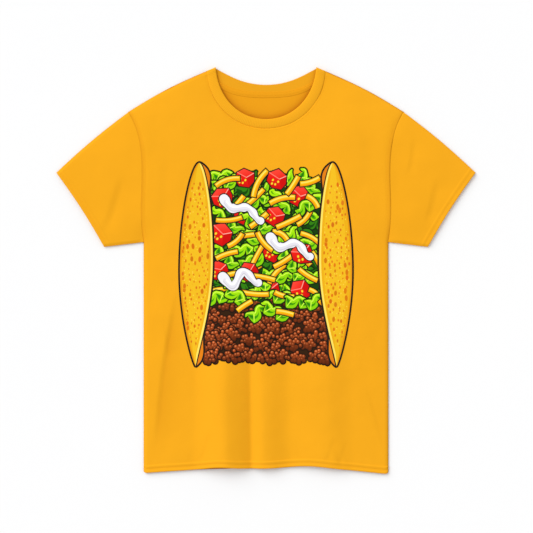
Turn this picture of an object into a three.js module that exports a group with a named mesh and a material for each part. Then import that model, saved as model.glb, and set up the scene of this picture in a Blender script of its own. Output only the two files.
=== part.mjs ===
// Short-sleeved crew-neck t-shirt, lying on its back with the front up.
// Millimetres. +X to the viewer's right, +Y towards the neck, +Z up from the surface it lies on.
// The origin is under the middle of the shirt, on that surface.
import * as THREE from 'three';

// Driving dimensions
const chestHalf = 220;          // half the width laid flat, armpit to armpit
const hemCornerY = -365;        // lowest points of the shirt, at the two side seams
const hemArch = 9;              // how much higher the hem is at its middle
const armpitY = 51;
const shoulder = { x: 248, y: 285 };            // top of the armhole seam
const neckSeam = { x: 106.5, y: 358.5 };        // where the collar seam meets the shoulder
const neckTip = { x: 90, y: 363 };              // top of the collar beside the neck
const sleeveTip = { x: 377, y: 176 };           // outer end of the sleeve's upper edge
const sleeveCorner = { x: 291, y: 42 };         // lower corner of the sleeve's hem
const shoulderBow = 4;          // outward bow of the shoulder line
const sleeveBow = 2;            // outward bow of the sleeve's upper edge
const frontNeckY = 255.4;       // seam of the collar at the front, at the middle
const frontRimY = 272.4;        // free edge of the collar at the front
const backNeckY = 315;          // seam of the collar at the back
const backRimY = 334;           // free edge of the collar at the back
const tapeAbove = 6.5;          // how far the neck tape reaches above the back seam, over the collar
const tapeBelow = 4.5;          // and below it, over the back
const tapeReach = 0.86;         // its share of the seam, from the middle to each shoulder

const cloth = 1.6;              // wall of the jersey panels
const rib = 2;                  // wall of the doubled rib collar
const tape = 0.8;
const gap = 0.8;                // clear space between neighbours along a seam

// Heights over the table of the middle of the cloth
const loft = 12;                // the front at the chest
const hemLoft = 9;              // the front at the hem, between its folds
const edgeLift = 3.2;           // the front at its side edges and shoulder line
const armholeLift = 8.5;        // the front at the armhole seam
const foldLift = 3.2;           // a sleeve's two fold edges
const sleeveLoft = 12;          // a sleeve's upper layer
const sideRoll = 60;            // distance over which the front drops to the side seam
const shoulderRoll = 75;        // the same at the shoulder line
const collarTurn = 1.9;         // half the height between the collar's two layers at the shoulder
const rimRise = 0.8;            // how far the collar's free edge stands above its seam

// Soft upright folds of the front, strongest at the hem
const folds = [
  { x: -74, width: 32, height: 10 },
  { x: -3, width: 20, height: 5.5 },
  { x: 108, width: 36, height: 5 },
];
const chestY = -100;            // the front sinks from its chest height below here
const foldsStartY = -215;       // the folds have their full height from here down
const foldsEndY = -10;          // and have died out here

// Curves of the outline, for the right-hand half
const vector = (x, y) => new THREE.Vector2(x, y);
const bezier = (...points) => new THREE.CubicBezierCurve(...points.map(([x, y]) => vector(x, y)));
const armhole = bezier([chestHalf, armpitY], [236, 130], [203, 215], [shoulder.x, shoulder.y]);
const frontSeam = bezier([0, frontNeckY], [58, frontNeckY], [104, 300], [neckSeam.x, neckSeam.y]);
const frontRim = bezier([0, frontRimY], [50, frontRimY], [86, 312], [neckTip.x, neckTip.y]);
const backSeam = bezier([0, backNeckY], [50, backNeckY], [84, 322], [neckSeam.x, neckSeam.y]);
const backRim = bezier([0, backRimY], [40, backRimY], [66, 350], [neckTip.x, neckTip.y]);

// A half curve used from -1 at the left end to +1 at the right end
function mirrored(curve, k) {
  const point = curve.getPoint(Math.abs(k));
  return vector(Math.sign(k) * point.x, point.y);
}

function shoulderLine(k) {
  const point = vector(neckSeam.x, neckSeam.y).lerp(vector(shoulder.x, shoulder.y), k);
  const outward = vector(neckSeam.y - shoulder.y, shoulder.x - neckSeam.x).normalize();
  return point.addScaledVector(outward, shoulderBow * Math.sin(Math.PI * k));
}

// The body's right edge, up the side seam and then the armhole
function sidePoint(y) {
  if (y <= armpitY) return vector(chestHalf, y);
  return armhole.getPoint((y - armpitY) / (shoulder.y - armpitY));
}

function hemPoint(k) {
  return vector(k * chestHalf, hemCornerY + hemArch * (1 - k * k));
}

const roll = (k) => Math.sin((Math.PI / 2) * THREE.MathUtils.clamp(k, 0, 1));
const { smoothstep } = THREE.MathUtils;

// Distance of a point from the straight shoulder line
function shoulderDistance(x, y) {
  const run = vector(shoulder.x - neckSeam.x, shoulder.y - neckSeam.y).normalize();
  return (neckSeam.y - y) * run.x + (Math.abs(x) - neckSeam.x) * run.y;
}

// Height of the front's middle surface over the table
function frontHeight(x, y) {
  const side = edgeLift + (armholeLift - edgeLift) * smoothstep(y, armpitY, armpitY + shoulderRoll);
  const nearHem = 1 - smoothstep(y, hemCornerY, chestY);
  const folded = 1 - smoothstep(y, foldsStartY, foldsEndY);
  let crown = THREE.MathUtils.lerp(loft, hemLoft, nearHem);
  for (const fold of folds) crown += fold.height * folded * Math.exp(-(((x - fold.x) / fold.width) ** 2));
  const inside = side + (crown - side) * roll((sidePoint(y).x - Math.abs(x)) / sideRoll);
  return edgeLift + (inside - edgeLift) * roll(shoulderDistance(x, y) / shoulderRoll);
}

// A wall of even thickness about a grid of points. The grid is open, or closed round its rows.
function clothSolid(rows, thickness, closed = false) {
  const last = rows.length - 1;
  const width = rows[0].length;
  const before = (i) => (closed ? (i + last) % (last + 1) : Math.max(i - 1, 0));
  const after = (i) => (closed ? (i + 1) % (last + 1) : Math.min(i + 1, last));
  const positions = [];
  for (const side of [0.5, -0.5]) {
    for (let i = 0; i <= last; i += 1) {
      for (let j = 0; j < width; j += 1) {
        const along = rows[after(i)][j].clone().sub(rows[before(i)][j]);
        const across = rows[i][Math.min(j + 1, width - 1)].clone().sub(rows[i][Math.max(j - 1, 0)]);
        const point = rows[i][j].clone().addScaledVector(along.cross(across).normalize(), side * thickness);
        positions.push(point.x, point.y, Math.max(point.z, 0));
      }
    }
  }
  const under = (last + 1) * width;
  const index = [];
  const quad = (a, b, c, d) => index.push(a, b, c, a, c, d);
  for (let i = 0; i < (closed ? last + 1 : last); i += 1) {
    const near = i * width;
    const far = after(i) * width;
    for (let j = 0; j < width - 1; j += 1) {
      quad(near + j, far + j, far + j + 1, near + j + 1);
      quad(under + near + j, under + near + j + 1, under + far + j + 1, under + far + j);
    }
    quad(near, under + near, under + far, far);
    quad(near + width - 1, far + width - 1, under + far + width - 1, under + near + width - 1);
  }
  if (!closed) {
    const end = last * width;
    for (let j = 0; j < width - 1; j += 1) {
      quad(j, j + 1, under + j + 1, under + j);
      quad(end + j, under + end + j, under + end + j + 1, end + j + 1);
    }
  }
  const geometry = new THREE.BufferGeometry();
  geometry.setAttribute('position', new THREE.Float32BufferAttribute(positions, 3));
  geometry.setIndex(index);
  geometry.computeVertexNormals();
  return geometry;
}

// How finely the pieces are divided
const bodyRows = 13;            // from the hem to the armpit
const yokeRows = 14;            // from the armpit to the shoulder
const columns = 28;             // across a panel
const armholeSteps = 10;
const sleeveTurns = 32;
const sleeveRows = 9;
const neckSteps = 28;
const backNeckSteps = 20;
const shoulderSteps = 4;
const foldSteps = 5;            // round the collar's fold at a shoulder
const ribRows = 3;              // across the collar

const steps = (count) => Array.from({ length: count + 1 }, (_, i) => i / count);

// Plan of a body panel: four outline curves, filled in between them. The middle half of its
// columns ends at the neck seam and a quarter at each shoulder.
function panelPoint(across, along, seam) {
  const k = across * 2 - 1;
  const onNeck = Math.abs(k) <= 0.5;
  const top = onNeck ? mirrored(seam, k * 2) : shoulderLine(Math.abs(k) * 2 - 1);
  if (!onNeck) top.x *= Math.sign(k);
  const plan = hemPoint(k).lerp(top, along);
  const straight = vector(chestHalf, hemCornerY).lerp(vector(shoulder.x, shoulder.y), along);
  const toSide = sidePoint(straight.y).sub(straight);
  return plan.add(vector(k ** 3 * toSide.x, toSide.y));
}

function frontPanel() {
  const armpitShare = (armpitY - hemCornerY) / (shoulder.y - hemCornerY);
  const heights = [
    ...steps(bodyRows).map((k) => k * armpitShare),
    ...steps(yokeRows).slice(1).map((k) => THREE.MathUtils.lerp(armpitShare, 1, k)),
  ];
  const rows = steps(columns).map((across) => heights.map((along) => {
    const plan = panelPoint(across, along, frontSeam);
    return new THREE.Vector3(plan.x, plan.y, frontHeight(plan.x, plan.y));
  }));
  return clothSolid(rows, cloth);
}

// The back lies flat on the table
function backPanel() {
  const outline = [];
  const flip = vector(-1, 1);
  for (const k of steps(bodyRows)) outline.push(hemPoint(k * 2 - 1));
  for (const k of steps(armholeSteps)) outline.push(armhole.getPoint(k));
  for (const k of steps(shoulderSteps).reverse()) outline.push(shoulderLine(k));
  for (const k of steps(backNeckSteps).reverse()) outline.push(mirrored(backSeam, k * 2 - 1));
  for (const k of steps(shoulderSteps)) outline.push(shoulderLine(k).multiply(flip));
  for (const k of steps(armholeSteps).reverse()) outline.push(armhole.getPoint(k).multiply(flip));
  const distinct = outline.filter((point, i) => i === 0 || point.distanceTo(outline[i - 1]) > gap);
  return new THREE.ExtrudeGeometry(new THREE.Shape(distinct), { depth: cloth, bevelEnabled: false });
}

// A flattened tube between the armhole and the sleeve's hem; side is +1 on the right
function sleeve(side) {
  const turns = steps(sleeveTurns).slice(0, -1);
  const rows = turns.map((turn) => steps(sleeveRows).map((along) => {
    const angle = turn * 2 * Math.PI;
    const rise = 0.5 - 0.5 * Math.cos(angle);                   // 0 at the underarm, 1 at the top fold
    const root = armhole.getPoint(rise).add(vector(gap, 0));
    const hem = vector(sleeveCorner.x, sleeveCorner.y).lerp(vector(sleeveTip.x, sleeveTip.y), rise);
    const plan = root.lerp(hem, along);
    const bow = sleeveBow * Math.sin(Math.PI * along) * rise;
    const height = THREE.MathUtils.lerp(armholeLift, sleeveLoft, roll(along * 2));
    const lift = angle <= Math.PI
      ? foldLift + (height - foldLift) * Math.sin(angle)
      : foldLift - (foldLift - cloth / 2) * (1 - Math.cos(angle) ** 8);
    return new THREE.Vector3(side * (plan.x + bow), plan.y + bow, lift);
  }));
  if (side < 0) rows.reverse();
  return clothSolid(rows.reverse(), cloth, true);
}

// The rib runs round the neck and folds from the front to the back at each shoulder
function collar() {
  const pairs = [];
  const push = (seam, rim, seamLift, rimLift) => pairs.push([
    new THREE.Vector3(seam.x, seam.y, seamLift),
    new THREE.Vector3(rim.x, rim.y, rimLift),
  ]);
  const low = rib / 2;
  const frontLift = (point) => Math.max(frontHeight(point.x, point.y), low + 2 * collarTurn);
  const turnOver = (side, angles) => {
    const seam = vector(side * neckSeam.x, neckSeam.y);
    const rim = vector(side * neckTip.x, neckTip.y);
    const outward = vector(side * (neckTip.y - neckSeam.y), neckSeam.x - neckTip.x).normalize();
    for (const angle of angles) {
      const reach = collarTurn * Math.sin(angle);
      const lift = low + collarTurn * (1 + Math.cos(angle));
      push(seam.clone().addScaledVector(outward, reach), rim.clone().addScaledVector(outward, reach), lift, lift);
    }
  };
  const bend = steps(foldSteps).slice(1, -1).map((k) => k * Math.PI);
  for (const k of steps(neckSteps)) {
    const seam = mirrored(frontSeam, k * 2 - 1);
    const rim = mirrored(frontRim, k * 2 - 1);
    push(seam, rim, frontLift(seam), frontLift(rim) + rimRise);
  }
  turnOver(1, bend);
  for (const k of steps(backNeckSteps)) {
    push(mirrored(backSeam, 1 - k * 2), mirrored(backRim, 1 - k * 2), low, low);
  }
  turnOver(-1, bend.slice().reverse());
  const inset = pairs.map(([seam, rim]) => {
    const inner = seam.clone().lerp(rim, gap / seam.distanceTo(rim));
    return steps(ribRows).map((k) => inner.clone().lerp(rim, k));
  });
  return clothSolid(inset, rib, true);
}

// A flat strip over the back neck seam, on the inside of the shirt
function neckTape() {
  const lift = rib + gap / 2 + tape / 2;
  const rows = steps(neckSteps).map((k) => {
    const seam = mirrored(backSeam, (k * 2 - 1) * tapeReach);
    return [-tapeBelow, tapeAbove].map((up) => new THREE.Vector3(seam.x, seam.y + up, lift));
  });
  return clothSolid(rows, tape);
}

const jersey = { color: 0xf9ac1f, roughness: 0.92, metalness: 0 };
const ribbed = { color: 0xfab022, roughness: 0.95, metalness: 0 };
const inside = { color: 0xf2a41d, roughness: 0.92, metalness: 0 };

const group = new THREE.Group();
function add(name, geometry, finish) {
  const mesh = new THREE.Mesh(geometry, new THREE.MeshStandardMaterial(finish));
  mesh.name = name;
  group.add(mesh);
}

add('back_panel', backPanel(), inside);
add('front_panel', frontPanel(), jersey);
add('sleeve_left', sleeve(-1), jersey);
add('sleeve_right', sleeve(1), jersey);
add('collar', collar(), ribbed);
add('neck_tape', neckTape(), inside);

export default group;
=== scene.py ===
import math
import random

import bpy
import numpy as np
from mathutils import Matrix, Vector, geometry, noise


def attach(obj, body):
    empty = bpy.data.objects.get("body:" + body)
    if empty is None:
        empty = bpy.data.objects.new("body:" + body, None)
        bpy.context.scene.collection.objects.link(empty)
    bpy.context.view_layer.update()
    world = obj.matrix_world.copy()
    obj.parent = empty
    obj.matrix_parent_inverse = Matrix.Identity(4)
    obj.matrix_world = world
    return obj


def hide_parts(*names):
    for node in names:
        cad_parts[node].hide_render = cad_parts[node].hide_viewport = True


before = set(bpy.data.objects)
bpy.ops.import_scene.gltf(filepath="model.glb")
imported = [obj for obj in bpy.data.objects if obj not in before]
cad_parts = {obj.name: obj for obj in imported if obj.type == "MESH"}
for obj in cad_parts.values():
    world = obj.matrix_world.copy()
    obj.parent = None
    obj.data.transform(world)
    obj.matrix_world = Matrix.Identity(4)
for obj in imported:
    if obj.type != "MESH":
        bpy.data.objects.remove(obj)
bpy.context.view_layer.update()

mm = 0.001
tau = 2 * math.pi
print("frame loaded:", ", ".join(sorted(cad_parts)))


def colour(tint):
    # a screen colour, 0 to 255, as the linear one a shader wants
    parts = np.array(tint) / 255
    return np.where(parts <= 0.04045, parts / 12.92, ((parts + 0.055) / 1.055) ** 2.4)


def ease(value, low, high):
    # 0 below low, 1 above high, smooth in between
    k = np.clip((value - low) / (high - low), 0, 1)
    return k * k * (3 - 2 * k)


def hump(value, middle, width):
    return np.exp(-((value - middle) / width) ** 2)


def roll(k):
    # how cloth rounds up from an edge, 0 to 1
    return np.sin(math.pi / 2 * np.clip(k, 0, 1))


def unit(vectors):
    return vectors / np.linalg.norm(vectors, axis=-1, keepdims=True)


def cubic(points, k):
    # a cubic curve through its first and last point, pulled by the two between
    a, b, c, d = (np.array(p, float) for p in points)
    k = np.asarray(k, float)[..., None]
    return a * (1 - k) ** 3 + 3 * b * k * (1 - k) ** 2 + 3 * c * k * k * (1 - k) + d * k ** 3


def mirrored(points, k):
    # a right-hand curve used from -1 at the left to +1 at the right
    found = cubic(points, np.abs(k))
    found[..., 0] *= np.sign(k)
    return found


def leftOf(start, end):
    # the direction at right angles to a run, on its left
    run = np.subtract(end, start)
    return np.array([-run[1], run[0]]) / np.hypot(*run)


def bowed(start, end, k, bow):
    # a run from start to end that bulges to its left by bow
    k = np.asarray(k, float)[..., None]
    return np.array(start) + np.subtract(end, start) * k + leftOf(start, end) * bow * np.sin(math.pi * k)


def distanceAlong(path):
    # how far along a path each of its points lies
    return np.concatenate([[0], np.cumsum(np.linalg.norm(np.diff(path, axis=0), axis=1))])


def cloudy(x, y, size, seed, depth=2):
    # slow random waves over the cloth, about -1 to 1
    flat = np.stack([np.ravel(x), np.ravel(y)], 1) / size
    found = [noise.fractal(Vector((px, py, seed)), 1.0, 2.0, depth) for px, py in flat]
    return np.array(found).reshape(np.shape(x))


# The cut of the shirt, in millimetres, its right half
cut = {
    "chestHalf": 220.0,
    "hemCorner": -364.5,
    "hemArch": 8.8,
    "armpit": 51.0,
    "shoulder": (248.0, 285.0),
    "neckSeam": (106.5, 358.5),
    "neckTip": (90.0, 363.0),
    "sleeveTip": (377.0, 176.0),
    "sleeveCorner": (291.0, 42.5),
    "shoulderBow": 4.0,
    "sleeveBow": 2.0,
    "cuffHollow": 2.8,
    "hemRound": 3.0,        # how far the hem's corners are rounded up
    "hemRise": 5.0,         # how far the hem is drawn up right of the middle, round hemRiseAt
    "hemRiseAt": 80,
    "foldRise": 3.8,        # how far the front's hem stands off the back's, below the biggest fold
    "foldRiseAt": -84,
}
armholeCurve = [(cut["chestHalf"], cut["armpit"]), (236, 130), (203, 215), cut["shoulder"]]
frontSeamCurve = [(0, 255.4), (58, 255.4), (104, 300), cut["neckSeam"]]
frontRimCurve = [(0, 272.2), (50, 272.2), (86, 312), cut["neckTip"]]
backSeamCurve = [(0, 315), (50, 315), (84, 322), cut["neckSeam"]]
backRimCurve = [(0, 334), (40, 334), (66, 350), cut["neckTip"]]

# How the shirt lies on the table: heights of its upper face, in millimetres
lie = {
    "chest": 9.4,
    "hem": 5.6,             # the front's height near the hem, before its folds
    "neck": 5.0,            # at the front's neck seam
    "neckLift": 1.6,        # how far the shoulder seam stands up beside the collar
    "edge": 2.2,            # at the side and shoulder seams
    "lip": 2.2,             # how far the cloth turns up sharply beside them
    "armhole": 6.2,
    "sleeve": 7.4,
    "cuff": 5.2,
    "lipRoll": 6.0,         # how far in from the edge the cloth is still rounding up
    "sideRoll": 95.0,
    "shoulderRoll": 80.0,
    "neckRoll": 110.0,
    "sleeveRoll": 56.0,
}

# Upright folds that fall out of the chest to the hem: where each starts, peaks and ends across the shirt,
# whether it rises softly, and how it falls: 1 softly, more with a sharp foot
uprightFolds = [
    {"left": -132, "crest": -72, "right": -27, "height": 13.0, "drift": 0.0, "rise": 1, "fall": 1.4},
    {"left": -28, "crest": -5, "right": 44, "height": 7.0, "drift": 3.0, "rise": 0, "fall": 1},
    {"left": 30, "crest": 108, "right": 156, "height": 5.6, "drift": 4.0, "rise": 1, "fall": 1},
]
# Creases: the cloth drops across a slanting line and recovers slowly to its right
creases = [
    {"top": (-157, -20), "foot": (-201, -326), "bend": -6, "drop": 3.8, "width": 11, "recover": 44},
    {"top": (-188, -80), "foot": (-176, -156), "bend": 2, "drop": 1.1, "width": 9, "recover": 14},
    {"top": (176, -200), "foot": (214, -342), "bend": 2, "drop": 2.0, "width": 7, "recover": 26},
    {"top": (-104, -286), "foot": (-121, -344), "bend": 3, "drop": 0.8, "width": 9, "recover": 18},
    {"top": (122, -296), "foot": (104, -346), "bend": 2, "drop": 0.7, "width": 9, "recover": 14},
    {"top": (141, -306), "foot": (128, -350), "bend": 2, "drop": 0.6, "width": 8, "recover": 11},
    {"top": (150, 300), "foot": (186, 150), "bend": 8, "drop": 1.2, "width": 26, "recover": 60},
    {"top": (-172, 230), "foot": (-196, 60), "bend": -6, "drop": 1.3, "width": 24, "recover": 50},
    {"top": (-260, 176), "foot": (-292, 70), "bend": 3, "drop": 2.4, "width": 18, "recover": 34},
    {"top": (265, 245), "foot": (255, 172), "bend": 2, "drop": 1.4, "width": 13, "recover": 18},
    {"top": (306, 172), "foot": (287, 84), "bend": 3, "drop": 2.0, "width": 17, "recover": 26},
]


def shoulderLine(k):
    return bowed(cut["neckSeam"], cut["shoulder"], k, cut["shoulderBow"])


def sidePoint(y):
    # the body's right edge: up the side seam, then round the armhole
    y = np.asarray(y, float)
    above = cubic(armholeCurve, np.clip((y - cut["armpit"]) / (cut["shoulder"][1] - cut["armpit"]), 0, 1))
    below = np.stack([np.full(y.shape, cut["chestHalf"]), y], -1)
    return np.where((y > cut["armpit"])[..., None], above, below)


def sideDistance(x, y):
    # how far a point lies inside that edge
    return sidePoint(y)[..., 0] - np.abs(x)


def backHem(x):
    # height of the back's hem at x; it arches, and its corners are rounded off
    reach = np.abs(x) / cut["chestHalf"]
    arch = cut["hemCorner"] + cut["hemArch"] * (1 - reach ** 2.2)
    corner = cut["hemRound"] * ease(reach, 0.975, 1.0) ** 2
    return arch + corner + cut["hemRise"] * hump(x, cut["hemRiseAt"], 50) - 1.5 * ease(x, 150, 215)


def frontHem(x):
    return backHem(x) + cut["foldRise"] * hump(x, cut["foldRiseAt"], 31)


def shoulderDistance(x, y):
    # how far a point lies inside the bowed shoulder seam
    run = np.subtract(cut["shoulder"], cut["neckSeam"])
    length = np.hypot(*run)
    run = run / length
    right, down = np.abs(x) - cut["neckSeam"][0], cut["neckSeam"][1] - y
    along = np.clip((right * run[0] - down * run[1]) / length, 0, 1)
    return down * run[0] + right * run[1] + cut["shoulderBow"] * np.sin(math.pi * along)


def neckDistance(x, y):
    # roughly how far a point lies outside the front's neck seam
    across, down = cut["neckSeam"][0], cut["neckSeam"][1] - frontSeamCurve[0][1]
    return (np.hypot(x / across, np.maximum(cut["neckSeam"][1] - y, 0) / down) - 1) * down


def foldHeight(x, y):
    # averaged over a little width, so that no fold has a knife edge
    return sum(foldProfile(x + shift, y) for shift in (-2.4, 0, 2.4)) / 3


def foldProfile(x, y):
    found = np.zeros(np.shape(x))
    for fold in uprightFolds:
        across = x - fold["drift"] * ease(-y, 170, 360)
        rising = np.clip((across - fold["left"]) / (fold["crest"] - fold["left"]), 0, 1)
        rising = ease(rising, 0, 1) if fold["rise"] else roll(rising)
        falling = np.clip((across - fold["crest"]) / (fold["right"] - fold["crest"]), 0, 1)
        falling = 1 - (ease(falling, 0, 1) if fold["fall"] == 1 else falling ** fold["fall"])
        found = found + fold["height"] * np.where(across < fold["crest"], rising, falling)
    return found * ease(-y, 10, 215)


def creaseDrop(x, y):
    found = np.zeros(np.shape(x))
    for crease in creases:
        (topX, topY), (footX, footY) = crease["top"], crease["foot"]
        k = (y - topY) / (footY - topY)
        path = topX + (footX - topX) * k + crease["bend"] * np.sin(math.pi * np.clip(k, 0, 1))
        away = x - path
        step = ease(away, -crease["width"] / 2, crease["width"] / 2)
        step = step * np.exp(-np.maximum(away, 0) / crease["recover"])
        found = found + crease["drop"] * step * ease(k, 0, 0.35) * (1 - ease(k, 0.75, 1.08))
    return found


hemBand = {
    "width": 13.0,
    "stands": 1.0,          # how far the doubled cloth stands above the single
    "round": 1.1,           # how far its cut edge is rounded down
    "groove": 6.8,          # where the sewing pulls it in, how broadly and how far
    "grooveWidth": 2.4,
    "sunk": 0.85,
    "rows": (5.6, 8.4),     # the two rows of stitches
    "share": 0.03,          # the part of a panel's height that is meshed more finely
}


def hemWork(rise):
    # how far the doubled band above a cut edge stands above the single cloth
    double = hemBand["stands"] * (1 - ease(rise, hemBand["width"] - 1.0, hemBand["width"] + 1.0))
    rows = hemBand["sunk"] * hump(rise, hemBand["groove"], hemBand["grooveWidth"])
    return double - rows - hemBand["round"] * (1 - roll(rise / 1.6))


unevenness = {"broad": 1.1, "broadSize": 95, "fine": 0.35, "fineSize": 34, "puckerSize": 11, "puckerRise": 17}


def restless(x, y):
    # the faint unevenness of cloth laid out by hand, and the puckers above the sewn hem
    broad = unevenness["broad"] * cloudy(x, y, unevenness["broadSize"], 7.0)
    fine = unevenness["fine"] * cloudy(x, y, unevenness["fineSize"], 3.0)
    pucker = cloudy(x + 0.5 * y, y * 0.35, unevenness["puckerSize"], 5.0, 1)
    pucker = pucker * hump(y - frontHem(x), unevenness["puckerRise"], 12) * (0.4 + 0.7 * hump(x, 126, 24))
    return broad + fine + pucker


armholeSeam = {"sunk": 0.75, "width": 6.0, "row": 6.5, "rowSunk": 0.35}


def neckLift(x, y):
    # the shoulder seam stands up beside the collar
    return lie["neckLift"] * hump(np.hypot(np.abs(x) - cut["neckSeam"][0], y - cut["neckSeam"][1]), 0, 36)


def bodyHeight(x, y):
    # the outer face of the front, without its fine unevenness
    x, y = np.asarray(x, float), np.asarray(y, float)
    crown = lie["chest"] + (lie["hem"] - lie["chest"]) * ease(-y, 100, 360)
    crown = lie["neck"] + (crown - lie["neck"]) * roll(neckDistance(x, y) / lie["neckRoll"])
    crown = crown + foldHeight(x, y) - creaseDrop(x, y)
    fromSide, fromShoulder = sideDistance(x, y), shoulderDistance(x, y)
    sleeved = ease(y, cut["armpit"] - 6, cut["armpit"] + 50)
    bare = (1 - sleeved) * roll(fromSide / lie["lipRoll"])
    lip = lie["lip"] * roll(fromShoulder / lie["lipRoll"]) * (sleeved + bare)
    side = (lie["armhole"] - lie["edge"]) * sleeved
    rise = crown - lie["edge"] - lie["lip"] - side
    body = (side + rise * roll(fromSide / lie["sideRoll"])) * roll(fromShoulder / lie["shoulderRoll"])
    lift = neckLift(x, y) * (1 - roll(fromShoulder / 12))
    groove = armholeSeam["sunk"] * hump(fromSide, 0, armholeSeam["width"])
    groove = groove + armholeSeam["rowSunk"] * hump(fromSide, armholeSeam["row"], 1.0)
    return lie["edge"] + lip + body + lift - groove * sleeved * roll(fromShoulder / 20)


def frontHeight(x, y):
    return bodyHeight(x, y) + restless(x, y) * ease(sideDistance(x, y), 0, 24)


print("cut worked out")


def solid(name, points, faces):
    mesh = bpy.data.meshes.new(name)
    mesh.from_pydata(np.asarray(points).tolist(), [], faces)
    mesh.update()
    mesh.polygons.foreach_set("use_smooth", [True] * len(mesh.polygons))
    piece = bpy.data.objects.new(name, mesh)
    bpy.context.scene.collection.objects.link(piece)
    return piece


def paintShade(piece, depth):
    # how much painted shade darkens the cloth, 0 to 1, in its hollows and creases and under the front's neck
    # rim, the same on both its faces
    values = np.clip(np.tile(depth.ravel(), 2), 0, 1).astype(np.float32)
    piece.data.attributes.new("paintedShade", "FLOAT", "POINT").data.foreach_set("value", values)


def facing(height, x, y):
    # which way a height field faces at each point
    step = 0.5
    slopeX = (height(x + step, y) - height(x - step, y)) / (2 * step)
    slopeY = (height(x, y + step) - height(x, y - step)) / (2 * step)
    return unit(np.dstack([-slopeX, -slopeY, np.ones_like(slopeX)]))


def wall(name, grid, thickness, closed=False, outward=None):
    # a sheet of even thickness; grid holds its outer face, and closed joins the grid's first axis to a ring
    count, width = grid.shape[:2]
    if outward is None:
        along = np.roll(grid, -1, 0) - np.roll(grid, 1, 0) if closed else np.gradient(grid, axis=0)
        outward = unit(np.cross(along, np.gradient(grid, axis=1)))
    inner = grid - outward * thickness
    points = np.concatenate([grid.reshape(-1, 3), inner.reshape(-1, 3)]) * mm
    under = count * width
    last = count if closed else count - 1
    i, j = np.meshgrid(np.arange(last), np.arange(width - 1), indexing="ij")
    a = (i * width + j).ravel()
    b = (((i + 1) % count) * width + j).ravel()
    faces = [np.stack([a, b, b + 1, a + 1], 1), np.stack([a, a + 1, b + 1, b], 1) + under]
    for edge, flip in ((0, 1), (width - 1, -1)):
        near = np.arange(last) * width + edge
        far = ((np.arange(last) + 1) % count) * width + edge
        faces.append(np.stack([near, near + under, far + under, far], 1)[:, ::flip])
    if not closed:
        for edge, flip in ((0, 1), ((count - 1) * width, -1)):
            near = np.arange(width - 1) + edge
            faces.append(np.stack([near, near + 1, near + 1 + under, near + under], 1)[:, ::flip])
    return solid(name, points, np.concatenate(faces).tolist())


def panelPlan(panel, seam, hem):
    # a body panel laid flat: four edge curves, filled in between them, with finer rows at the hem
    across = np.linspace(0, 1, panel["columns"] + 1)
    along = stretches((0, hemBand["share"], panel["hemRows"]), (hemBand["share"], 1, panel["rows"]))
    u, v = np.meshgrid(across, along, indexing="ij")
    k = across * 2 - 1
    bottom = np.stack([k * cut["chestHalf"], hem(k * cut["chestHalf"])], -1)
    shoulders = shoulderLine(np.clip(np.abs(k) * 2 - 1, 0, 1)) * np.stack([np.sign(k), np.ones_like(k)], -1)
    top = np.where((np.abs(k) <= 0.5)[:, None], mirrored(seam, np.clip(k * 2, -1, 1)), shoulders)
    side = sidePoint(cut["hemCorner"] + (cut["shoulder"][1] - cut["hemCorner"]) * along)
    plan = bottom[:, None] * (1 - v)[..., None] + top[:, None] * v[..., None]
    straight = cut["chestHalf"] * (1 - v) + cut["shoulder"][0] * v
    reach = 2 * u - 1
    plan[..., 0] += (side[None, :, 0] - straight) * np.abs(reach) ** 3 * np.sign(reach)
    return plan


def stretches(*parts):
    # places along an edge: (from, to, how many) for each stretch, without doubling the joins
    places = [np.linspace(a, b, n, endpoint=False) for a, b, n in parts]
    return np.concatenate(places + [[parts[-1][1]]])


front = {"thickness": 0.9, "columns": 180, "hemRows": 24, "rows": 190}


def makeFront():
    plan = panelPlan(front, frontSeamCurve, frontHem)
    x, y = plan[..., 0], plan[..., 1]
    height = frontHeight(x, y) + hemWork(y - frontHem(x))
    piece = wall("frontBody", np.dstack([plan, height]), front["thickness"], outward=facing(bodyHeight, x, y))
    fromSide = sideDistance(x, y)
    # painted shade along the armhole seam, at the edges where the cloth rolls away, and in the creases
    seam = 0.3 * hump(fromSide, 0, 6) * ease(y, cut["armpit"] - 20, cut["armpit"] + 20)
    rim = 0.35 * hump(np.minimum(fromSide, shoulderDistance(x, y)), 0, 2.2)
    paintShade(piece, seam + rim + 0.35 * np.clip(creaseDrop(x, y) / 3.8, 0, 1) ** 2)
    return piece


frontPiece = makeFront()
print("front made")

back = {"thickness": 0.9, "lies": 1.3, "columns": 120, "rows": 120, "hemRows": 20}


def backHeight(x, y):
    # the inside of the back, flat on the table but for its rounded edges
    edge = np.minimum(sideDistance(x, y), shoulderDistance(x, y))
    return back["lies"] + (lie["edge"] + neckLift(x, y) - back["lies"]) * (1 - roll(edge / 14))


def rimDistance(x, y):
    # how far inside the front's neck rim a point lies, 0 outside it
    rim = mirrored(frontRimCurve, np.linspace(-1, 1, 121))
    away = np.hypot(x[..., None] - rim[:, 0], y[..., None] - rim[:, 1]).min(-1)
    right = rim[len(rim) // 2:]
    inside = (y > right[0, 1]) & (np.abs(x) < np.interp(y, right[:, 1], right[:, 0]))
    return np.where(inside, away, 0)


def makeBack():
    plan = panelPlan(back, backSeamCurve, backHem)
    x, y = plan[..., 0], plan[..., 1]
    grid = np.dstack([plan, backHeight(x, y)])
    piece = wall("backBody", grid, back["thickness"], outward=facing(backHeight, x, y))
    # painted shadow on the back's inside, deepest just under the front's neck rim
    paintShade(piece, 1.25 * np.exp(-rimDistance(x, y) / 6.0))
    return piece


backPiece = makeBack()
print("back made")

sleeve = {
    "thickness": 0.9,
    "turns": 160,
    "rows": 70,
    "cuffRows": 22,
    "cuffShare": 0.14,      # the part of its length, at the cuff, that is meshed more finely
    "overlap": 0.6,         # how far it reaches in under the body's edge
    "joinRoll": 22.0,
    "pressed": 0.42,        # how far its hem stands up, as a share of the body's
}


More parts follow.
